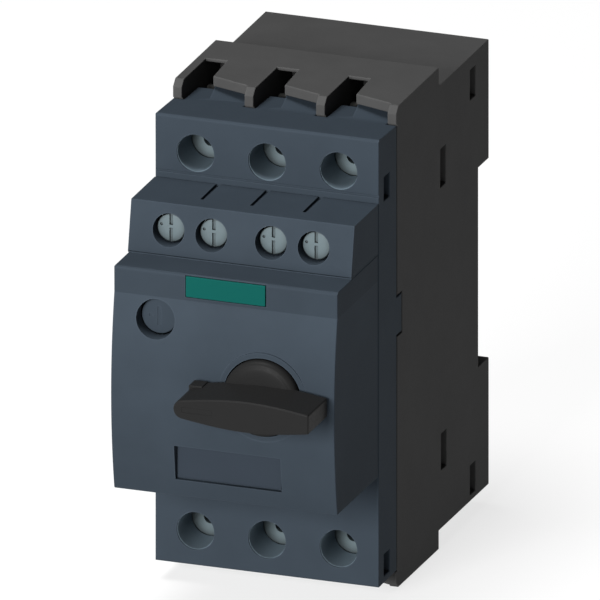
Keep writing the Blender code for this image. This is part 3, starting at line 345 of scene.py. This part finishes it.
def smooth(piece, angle=32):
    """Smooth shading that breaks at sharp arrises, with the flats kept flat."""
    piece.data.shade_smooth()
    piece.data.set_sharp_from_angle(angle=math.radians(angle))
    weigh = piece.modifiers.new("flat faces first", "WEIGHTED_NORMAL")
    weigh.keep_sharp = True
    graph = bpy.context.evaluated_depsgraph_get()
    mesh = bpy.data.meshes.new_from_object(piece.evaluated_get(graph))
    piece.modifiers.clear()
    piece.data = mesh
    return piece


def sheet_block(name, outline, axis, ends, rounding=0.0, segments=3):
    """A flat outline given thickness along an axis, its front and rear arrises rounded.

    The outline holds (Y, Z) points for X, (X, Z) for Y and (X, Y) for Z, in millimetres.
    """
    order = {"X": (2, 0, 1), "Y": (0, 2, 1), "Z": (0, 1, 2)}[axis]
    bm = bmesh.new()
    ring = []
    for u, v in outline:
        spot = (u, v, ends[0])
        ring.append(bm.verts.new([spot[i] * MM for i in order]))
    face = bm.faces.new(ring)
    grown = bmesh.ops.extrude_face_region(bm, geom=[face])
    push = Vector((0.0, 0.0, 0.0))
    push["XYZ".index(axis)] = (ends[1] - ends[0]) * MM
    moved = [g for g in grown["geom"] if isinstance(g, bmesh.types.BMVert)]
    bmesh.ops.translate(bm, verts=moved, vec=push)
    bmesh.ops.recalc_face_normals(bm, faces=bm.faces)
    if rounding:
        sharp = [e for e in bm.edges if e.calc_face_angle(0.0) > math.radians(35)]
        bmesh.ops.bevel(bm, geom=sharp, offset=rounding * MM, segments=segments, profile=0.5,
                        affect="EDGES", clamp_overlap=True)
    mesh = bpy.data.meshes.new(name)
    bm.to_mesh(mesh)
    bm.free()
    piece = bpy.data.objects.new(name, mesh)
    bpy.context.scene.collection.objects.link(piece)
    return piece


def block(name, x, y, z, rounding=0.0, segments=3):
    """A rounded block between two X, two Y and two Z values."""
    outline = ((x[0], z[0]), (x[1], z[0]), (x[1], z[1]), (x[0], z[1]))
    return sheet_block(name, outline, "Y", y, rounding, segments)


def worked(target, operation, *tools):
    """Cut the tools from a piece, or join them to it, and leave one plain mesh."""
    for tool in tools:
        step = target.modifiers.new(operation, "BOOLEAN")
        step.operation = operation
        step.object = tool
    result = finished(target)
    for tool in tools:
        bpy.data.objects.remove(tool, do_unlink=True)
    return result


def arc(radius, centre, start, end, steps):
    """Points of a circle's arc between two angles in degrees."""
    angles = [math.radians(start + (end - start) * i / steps) for i in range(steps + 1)]
    return [(centre[0] + radius * math.cos(a), centre[1] + radius * math.sin(a)) for a in angles]


knob_x = (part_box("knob_shaft")[0].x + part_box("knob_shaft")[1].x) / 2 / MM
knob_low, knob_high = (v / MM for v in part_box("rotary_knob"))
disc_radius, dome_top, disc_back = 7.6, -82.2, -77.2
hub_radius, hub_back = 5.0, -74.6
dome_share, rim_share = 0.86, 0.14
dome_rise, rim_rise = 0.42, 1.15
dome = [(disc_radius * dome_share * math.sin(a), dome_top + dome_rise * (1 - math.cos(a)))
        for a in (math.pi / 2 * i / 8 for i in range(9))]
rim = [(disc_radius * dome_share + (disc_radius * rim_share) * math.sin(a),
        dome_top + dome_rise + rim_rise * (1 - math.cos(a)))
       for a in (math.pi / 2 * i / 8 for i in range(1, 9))]
hub = [(disc_radius, disc_back), (hub_radius, disc_back), (hub_radius, hub_back), (0.0, hub_back)]
disc = turned("knob_disc", [*dome, *rim, *hub], knob_x, 0.0, 96)

grip_end, grip_middle = 1.9, 3.1
nose_x = knob_low.x + grip_end
grip_run = [(nose_x + (knob_high.x - nose_x) * i / 24,
             grip_end + (grip_middle - grip_end) * math.sin(math.pi * i / 24)) for i in range(25)]
nose = [(x, -z) for x, z in arc(grip_end, (nose_x, 0.0), 100, 260, 10)]
grip_outline = [*grip_run, *[(x, -z) for x, z in reversed(grip_run)], *nose]
grip = sheet_block("grip", grip_outline, "Y", (knob_low.y, -81.0), 0.3, 4)
knob = worked(disc, "UNION", grip)
slide_low, slide_high = (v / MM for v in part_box("padlock_slide"))
hairline = 0.02
slot = block("slot", (slide_low.x - hairline, slide_high.x + hairline), (knob_low.y - 2, slide_high.y + 0.3),
             (slide_low.z - hairline, slide_high.z + hairline))
bore_half, bore_y = 2.2, (-87.9, -70.0)
bore = block("bore", (knob_x - bore_half, knob_x + bore_half), bore_y, (-bore_half, bore_half))
knob = worked(knob, "DIFFERENCE", slot, bore)
nub_x, nub_y, nub_z = (knob_low.x + 0.5, knob_low.x + 3.2), (-84.4, -81.2), (0.8, 2.3)
pointer_nub = block("pointer nub", nub_x, nub_y, nub_z, 0.12)
knob = smooth(worked(knob, "UNION", pointer_nub))
knob.name = "knob"
black_polyamide = moulded("satin black polyamide", "1A1A1A", 0.4, 0.42, mottle=0.06, bump=0.12, edge=0.03)
black_polyamide.node_tree.nodes["Principled BSDF"].inputs["Specular IOR Level"].default_value = 0.03
settle(knob, "rotary_knob", "knob", black_polyamide)


# Collar: a turned ring of the cover round the knob's disc, moulded in one with the cover.  It
# closes the gap between the disc's rim and the cover's opening.
def extra(piece, material):
    """Finish a moulded piece of the body that stands for no frame solid."""
    piece.data.materials.clear()
    piece.data.materials.append(material)
    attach(piece, "body")


collar_front = min(v.co.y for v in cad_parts["front_cover"].data.vertices
                   if abs(v.co.z) < 10 * MM and abs(v.co.x - knob_x * MM) < 10 * MM) / MM
inner, outer, setback = 7.85, 8.87, 0.12
front, back = collar_front + setback, -77.4
ring = [(inner, front), (outer, front), (outer, back), (inner, back)]
extra(smooth(turned("collar", ring, knob_x, 0.0, 96)), cover_grey_painted_shading)

# Padlock slide: a flat bar of the same plastic, sprung into the grip, with an eye for the shackle.
slide = block("locking_slide", (slide_low.x, slide_high.x), (knob_low.y, slide_high.y),
              (slide_low.z, slide_high.z), 0.02, 1)
eye_centre = ((slide_low.x + slide_high.x) / 2, slide_high.y - 3.6)
eye = sheet_block("eye", arc(2.0, eye_centre, 0, 354, 59), "Z", (-3.0, 3.0))
settle(smooth(worked(slide, "DIFFERENCE", eye)), "padlock_slide", "padlock", black_polyamide)

# Setting dial: blue-grey disc sunk in the cover, with a screwdriver slot and a side mark that
# points at the setting.
dial_low, dial_high = (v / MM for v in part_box("setting_dial"))
dial_x, dial_z = (dial_low.x + dial_high.x) / 2, (dial_low.z + dial_high.z) / 2
dial_radius = (dial_high.x - dial_low.x) / 2
dial_edge, dial_back, pivot_radius = 0.35, -74.0, 1.4
lip = [(dial_radius - dial_edge + dial_edge * math.sin(a), dial_low.y + dial_edge * (1 - math.cos(a)))
       for a in (math.pi / 2 * i / 5 for i in range(6))]
pivot = [(dial_radius, dial_back), (pivot_radius, dial_back), (pivot_radius, dial_high.y), (0.0, dial_high.y)]
dial = turned("dial_disc", [(0.0, dial_low.y), *lip, *pivot], dial_x, dial_z, 64)
cut_depth = (dial_low.y - 1, dial_low.y + 0.15)
slit_half, slit_reach = 0.35, 1.9
mark_far, mark_near, mark_half = 2.1, 1.3, 0.3
upright = block("upright", (dial_x - slit_half, dial_x + slit_half), cut_depth,
                (dial_z - slit_reach, dial_z + slit_reach), 0.1)
pointer = block("pointer", (dial_x - mark_far, dial_x - mark_near), cut_depth,
                (dial_z - mark_half, dial_z + mark_half), 0.08)
dial = smooth(worked(dial, "DIFFERENCE", upright, pointer))
dial.name = "dial"
settle(dial, "setting_dial", "dial", blue_grey)


# Name plate and label: a pressed plate with a printed teal face, left blank, and a blank
# write-on strip in the blue-grey of the cover.
def printed(name, colour, roughness):
    """Screen-printed plastic: even colour with a faint orange-peel in the gloss."""
    return moulded(name, colour, 0.6, roughness, mottle=0.04, bump=0.05, edge=0.1)


plate_low, plate_high = (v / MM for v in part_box("name_plate"))
plate = block("teal_plate", *zip(plate_low, plate_high), 0.12)
settle(smooth(plate), "name_plate", "body", printed("teal print on plastic", "09403B", 0.42))
label_low, label_high = (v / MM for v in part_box("inscription_label"))
label = block("label_strip", *zip(label_low, label_high), 0.08)
settle(smooth(label), "inscription_label", "body", printed("blank label strip", "262C33", 0.5))

# Seam lip: a thin lip of the switch block that closes the joint between it and the cover, moulded
# in one with the block.
block_low, block_high = (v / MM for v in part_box("aux_switch_housing"))
cover_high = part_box("front_cover")[1] / MM
inset, seam_back = 0.03, -56.0
seam_z = (cover_high.z + 0.02, block_low.z - 0.02)
seam = block("seam_lip", (block_low.x + inset, block_high.x - inset),
             (block_low.y + inset, seam_back), seam_z)
extra(seam, blue_grey)


# Terminal screws: M4 combination head, zinc plated and blue passivated.  Cold headed, so the
# drive has soft edges, then thread rolled.
def plated_steel(name, colour, roughness):
    """Zinc-plated steel: a blue-white skin, fine turning rings, a cloudy passivation and painted shade in
    recesses and holes.
    """
    material = bpy.data.materials.new(name)
    material.use_nodes = True
    tree = material.node_tree
    shader = tree.nodes["Principled BSDF"]
    place = add(tree, "ShaderNodeTexCoord").outputs["Object"]
    cloud = add(tree, "ShaderNodeTexNoise", Vector=place, Scale=1 / (1.6 * MM), Detail=4.0, Roughness=0.65)
    dull = tuple(c * 0.82 for c in srgb(colour)[:3]) + (1.0,)
    skin = add(tree, "ShaderNodeMix", {"data_type": "RGBA"},
               i0=cloud.outputs["Fac"], i6=dull, i7=srgb(colour))
    # Painted shade: the colour is darkened where the surface is closed in, in the drive recess and down the
    # screw holes.
    hollow = add(tree, "ShaderNodeAmbientOcclusion", {"samples": 8}, Distance=2.5 * MM)
    painted_recess_shade = add(tree, "ShaderNodeMapRange", i0=hollow.outputs["AO"], i1=0.25, i2=0.8, i3=0.12, i4=1.0)
    shaded = add(tree, "ShaderNodeVectorMath", {"operation": "SCALE"},
                 i0=skin.outputs[2], Scale=painted_recess_shade.outputs["Result"])
    tree.links.new(shaded.outputs["Vector"], shader.inputs["Base Color"])
    fine = add(tree, "ShaderNodeTexNoise", Vector=place, Scale=1 / (0.25 * MM), Detail=2.0)
    gloss = add(tree, "ShaderNodeMapRange",
                i0=cloud.outputs["Fac"], i1=0.3, i2=0.7, i3=roughness - 0.08, i4=roughness + 0.1)
    tree.links.new(gloss.outputs["Result"], shader.inputs["Roughness"])
    relief = add(tree, "ShaderNodeBump", Height=fine.outputs["Fac"], Strength=0.15, Distance=0.01 * MM)
    tree.links.new(relief.outputs["Normal"], shader.inputs["Normal"])
    shader.inputs["Metallic"].default_value = 0.35
    shader.inputs["Specular IOR Level"].default_value = 0.3
    return material


def helix_tree():
    """Geometry nodes for a ridge wound round a bar: named sizes in, one real mesh out."""
    tree = bpy.data.node_groups.new("wound ridge", "GeometryNodeTree")
    sizes = {"Radius": 0.002, "Pitch": 0.0007, "Turns": 6.0, "Ridge": 0.0003}
    for name, value in sizes.items():
        socket = tree.interface.new_socket(name, in_out="INPUT", socket_type="NodeSocketFloat")
        socket.default_value = value
    tree.interface.new_socket("Material", in_out="INPUT", socket_type="NodeSocketMaterial")
    tree.interface.new_socket("Geometry", in_out="OUTPUT", socket_type="NodeSocketGeometry")
    given = tree.nodes.new("NodeGroupInput").outputs
    height = add(tree, "ShaderNodeMath", {"operation": "MULTIPLY"}, i0=given["Pitch"], i1=given["Turns"])
    path = add(tree, "GeometryNodeCurveSpiral",
               Resolution=24, Rotations=given["Turns"], Height=height.outputs[0])
    tree.links.new(given["Radius"], path.inputs["Start Radius"])
    tree.links.new(given["Radius"], path.inputs["End Radius"])
    section = add(tree, "GeometryNodeCurvePrimitiveCircle", Resolution=6, Radius=given["Ridge"])
    swept = add(tree, "GeometryNodeCurveToMesh", Curve=path.outputs["Curve"])
    tree.links.new(section.outputs["Curve"], swept.inputs["Profile Curve"])
    swept.inputs["Fill Caps"].default_value = True
    real = add(tree, "GeometryNodeRealizeInstances", Geometry=swept.outputs["Mesh"])
    painted = add(tree, "GeometryNodeSetMaterial",
                  Geometry=real.outputs["Geometry"], Material=given["Material"])
    tree.links.new(painted.outputs["Geometry"], tree.nodes.new("NodeGroupOutput").inputs["Geometry"])
    return tree


wound_ridge = helix_tree()


def wound(name, radius, pitch, turns, ridge, material, shift):
    """A ridge or wire wound about a line along Y, its first turn at the shift's origin."""
    blank = bpy.data.objects.new(name, bpy.data.meshes.new(name))
    bpy.context.scene.collection.objects.link(blank)
    winder = blank.modifiers.new("wind", "NODES")
    winder.node_group = wound_ridge
    wanted = {"Radius": radius * MM, "Pitch": pitch * MM, "Turns": turns, "Ridge": ridge * MM,
              "Material": material}
    for item in wound_ridge.interface.items_tree:
        if item.in_out == "INPUT":
            winder[item.identifier] = wanted[item.name]
    return finished(blank, shift @ Matrix.Rotation(-math.pi / 2, 4, "X"))


def fused(name, *pieces):
    """Several pieces of one material as one object."""
    bm = bmesh.new()
    for piece in pieces:
        bm.from_mesh(piece.data)
        bpy.data.objects.remove(piece, do_unlink=True)
    mesh = bpy.data.meshes.new(name)
    bm.to_mesh(mesh)
    bm.free()
    result = bpy.data.objects.new(name, mesh)
    bpy.context.scene.collection.objects.link(result)
    return result


def screw_pattern(name, head_radius, head_y, neck_y, shank_radius, tip_y, pitch, edge, drives, material):
    """A cheese-headed screw on the line X = Z = 0, with its drive cut in and its thread rolled on."""
    shoulder = [(head_radius - edge + edge * math.sin(a), head_y + edge * (1 - math.cos(a)))
                for a in (math.pi / 2 * i / 5 for i in range(6))]
    core = shank_radius - 0.2
    profile = [(0.0, head_y), *shoulder, (head_radius, neck_y), (core, neck_y), (core, tip_y - 0.4),
               (core - 0.4, tip_y), (0.0, tip_y)]
    bar = turned(name + " bar", profile, 0.0, 0.0, 48)
    bar = worked(bar, "DIFFERENCE", *drives)
    turns = (tip_y - neck_y - 1.2) / pitch
    start = Matrix.Translation((0.0, (neck_y + 0.6) * MM, 0.0))
    thread = wound(name + " thread", core, pitch, turns, 0.19, material, start)
    return smooth(fused(name, bar, thread), 35)


def driven(node, name, body, pattern):
    """A copy of a screw's pattern on the line of the frame's screw."""
    low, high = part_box(node)
    mesh = pattern.data.copy()
    mesh.transform(Matrix.Translation(((low.x + high.x) / 2, 0.0, (low.z + high.z) / 2)))
    screw = bpy.data.objects.new(name, mesh)
    bpy.context.scene.collection.objects.link(screw)
    settle(screw, node, body, blue_zinc)


blue_zinc = plated_steel("dull blue-passivated zinc on steel", "556165", 0.6)
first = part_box("terminal_screw_line_1")
head_y, tip_y = first[0].y / MM, first[1].y / MM
drive_radius = 1.4
drive = [(0.0, head_y - 1.0), (drive_radius, head_y - 1.0), (drive_radius, head_y + 1.6), (0.0, head_y + 2.2)]
socket_cut = turned("socket cut", drive, 0.0, 0.0, 32)
pattern = screw_pattern("terminal screw", head_radius=4.2, head_y=head_y, neck_y=head_y + 2.6,
                        shank_radius=2.0, tip_y=tip_y, pitch=0.7, edge=0.6, drives=(socket_cut,),
                        material=blue_zinc)
for side in ("line", "load"):
    for number in (1, 2, 3):
        driven(f"terminal_screw_{side}_{number}", f"screw_{side}_{number}", f"screw_{side}_{number}", pattern)
bpy.data.objects.remove(pattern, do_unlink=True)

# Auxiliary screws: M3, the same finish, just below the block's face, with a slot that stops at
# a bridge in the middle and one punched mark.
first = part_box("aux_screw_1")
head_y, tip_y = first[0].y / MM, first[1].y / MM
slot_x, slot_y = (-0.35, 0.35), (head_y - 1.0, head_y + 0.4)
upper_cut = block("upper cut", slot_x, slot_y, (0.6, 3.2))
lower_cut = block("lower cut", slot_x, slot_y, (-3.2, 0.0))
dot_size = 0.3
dot = [(0.0, head_y - 1.0), (dot_size, head_y - 1.0), (dot_size, head_y + dot_size), (0.0, head_y + dot_size)]
dot_cut = turned("dot cut", dot, -1.95, 0.6, 16)
pattern = screw_pattern("aux screw", head_radius=2.85, head_y=head_y, neck_y=head_y + 1.6, shank_radius=1.3,
                        tip_y=tip_y, pitch=0.5, edge=0.3, drives=(upper_cut, lower_cut, dot_cut),
                        material=blue_zinc)
for number in (1, 2, 3, 4):
    driven(f"aux_screw_{number}", f"small_screw_{number}", f"aux_screw_{number}", pattern)
bpy.data.objects.remove(pattern, do_unlink=True)

# Screw guides: thin moulded tubes between the front face and each terminal screw's head, which
# lead the screwdriver.  The core pins leave their bores smoother than the face; their paler colour is painted
# light down the holes.
guides = []
guide_bore, mouth_radius, guide_outer = 3.7, 3.79, 4.4
mouth_y, step_y = -55.35, -53.6
for side in ("line", "load"):
    for number in (1, 2, 3):
        low, high = (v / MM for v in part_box(f"terminal_screw_{side}_{number}"))
        foot_y = low.y - 0.4
        tube = [(guide_bore, mouth_y), (mouth_radius, mouth_y), (mouth_radius, step_y), (guide_outer, step_y),
                (guide_outer, foot_y), (guide_bore, foot_y)]
        guides.append(turned(f"guide {side} {number}", tube, (low.x + high.x) / 2, (low.z + high.z) / 2, 48))
# Painted light: the bores' colour is paler than the face's, standing in for light down the screw holes.
bore_grey_painted_light = moulded("polished blue-grey polyamide bore, painted light", "5A6770", 0.3, 0.45, edge=0.0)
extra(smooth(fused("screw_guides", *guides)), bore_grey_painted_light)


# Copper: terminal bars with their fixed contacts, tin plated, and contact bridges, left bare.  Both
# are stamped from rolled strip, with long fine rolling lines and a light bloom.
def rolled_metal(name, colour, bloom, roughness, along):
    """Rolled strip: fine lines along the strip and a cloudy tarnish of a second colour."""
    material = bpy.data.materials.new(name)
    material.use_nodes = True
    tree = material.node_tree
    shader = tree.nodes["Principled BSDF"]
    place = add(tree, "ShaderNodeTexCoord").outputs["Object"]
    stretch = tuple(0.04 if axis == along else 1.0 for axis in "XYZ")
    lines = add(tree, "ShaderNodeMapping", Vector=place, Scale=stretch)
    rolled = add(tree, "ShaderNodeTexNoise",
                 Vector=lines.outputs["Vector"], Scale=1 / (0.12 * MM), Detail=3.0)
    cloud = add(tree, "ShaderNodeTexNoise", Vector=place, Scale=1 / (3 * MM), Detail=4.0, Roughness=0.6)
    tarnish = add(tree, "ShaderNodeMapRange", i0=cloud.outputs["Fac"], i1=0.4, i2=0.75, i3=0.0, i4=0.7)
    skin = add(tree, "ShaderNodeMix", {"data_type": "RGBA"},
               i0=tarnish.outputs["Result"], i6=srgb(colour), i7=srgb(bloom))
    tree.links.new(skin.outputs[2], shader.inputs["Base Color"])
    gloss = add(tree, "ShaderNodeMapRange",
                i0=rolled.outputs["Fac"], i1=0.3, i2=0.7, i3=roughness - 0.07, i4=roughness + 0.12)
    tree.links.new(gloss.outputs["Result"], shader.inputs["Roughness"])
    relief = add(tree, "ShaderNodeBump", Height=rolled.outputs["Fac"], Strength=0.2, Distance=0.01 * MM)
    tree.links.new(relief.outputs["Normal"], shader.inputs["Normal"])
    shader.inputs["Metallic"].default_value = 1.0
    return material


def dress(material, *nodes):
    """Give frame solids whose shape is already right their own finish."""
    for node in nodes:
        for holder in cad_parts[node].material_slots:
            holder.material = material


copper = rolled_metal("rolled electrolytic copper", "C07A55", "7E4A33", 0.32, "Z")
tinned = rolled_metal("tin-plated copper", "8E8F8C", "6F6E69", 0.42, "Z")
for number in (1, 2, 3):
    dress(tinned, f"line_terminal_bar_{number}", f"load_terminal_bar_{number}")
    dress(copper, f"moving_contact_{number}")
dress(tinned, *(f"aux_terminal_bar_{number}" for number in (1, 2, 3, 4)))
dress(copper, "aux_contact_bridge")

# Bimetals: strips of two bonded alloys that bend with the current's heat, tinted straw by it.
straw = rolled_metal("heat-tinted bimetal strip", "9C9076", "6E5B42", 0.38, "Z")
dress(straw, "bimetal_1", "bimetal_2", "bimetal_3")

# Steel sheet parts: latch frame, arc chutes, clamp saddles, knob shaft and plungers, bright zinc
# plated with a bluish cast and rolling lines across the sheet.
sheet_steel = rolled_metal("bright zinc-plated sheet steel", "A4AAAD", "7F878A", 0.34, "X")
dress(sheet_steel, "latch_frame", "knob_shaft")
for number in (1, 2, 3):
    dress(sheet_steel, f"arc_chute_{number}", f"magnet_plunger_{number}")
    dress(sheet_steel, f"clamp_saddle_line_{number}", f"clamp_saddle_load_{number}")
dress(sheet_steel, *(f"aux_clamp_{number}" for number in (1, 2, 3, 4)))

# Moulded inner parts: the contact carrier and rail latch in the housing's dark polyamide, and the
# trip slide in natural polyamide, which is left milky white.
dress(dark_polyamide, "contact_carrier", "rail_latch")
dress(moulded("natural polyamide", "C9C7BD", 0.35, 0.45, mottle=0.05, bump=0.1, edge=0.1), "trip_slide")

# Magnet coils: enamelled copper wire wound in close turns on each trip's bobbin, a moulded tube
# with a flange at each end, which leaves the plunger's bore open.
enamel = rolled_metal("enamelled copper wire", "9A4A2A", "6B2F1C", 0.22, "X")
wire, flange_thick = 0.4, 0.8
for number in (1, 2, 3):
    low, high = (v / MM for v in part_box(f"magnet_coil_{number}"))
    plunger_low, plunger_high = (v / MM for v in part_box(f"magnet_plunger_{number}"))
    centre_x, centre_z = (low.x + high.x) / 2, (low.z + high.z) / 2
    flange = (high.z - low.z) / 2
    tube_bore = (plunger_high.z - plunger_low.z) / 2 + 0.2
    core = flange - 2 * wire - 0.5
    first_y, last_y = low.y + flange_thick, high.y - flange_thick
    bobbin = [(tube_bore, low.y), (flange, low.y), (flange, first_y), (core, first_y), (core, last_y),
              (flange, last_y), (flange, high.y), (tube_bore, high.y)]
    former = turned(f"bobbin {number}", bobbin, centre_x, centre_z, 48)
    start = Matrix.Translation((centre_x * MM, (first_y + wire) * MM, centre_z * MM))
    turns = (high.y - low.y - 2 * flange_thick - 2 * wire) / (2 * wire)
    winding = wound(f"winding {number}", core + wire * 0.95, 2 * wire, turns, wire, enamel, start)
    coil = smooth(fused(f"coil_{number}", former, winding))
    settle(coil, f"magnet_coil_{number}", "body", enamel)
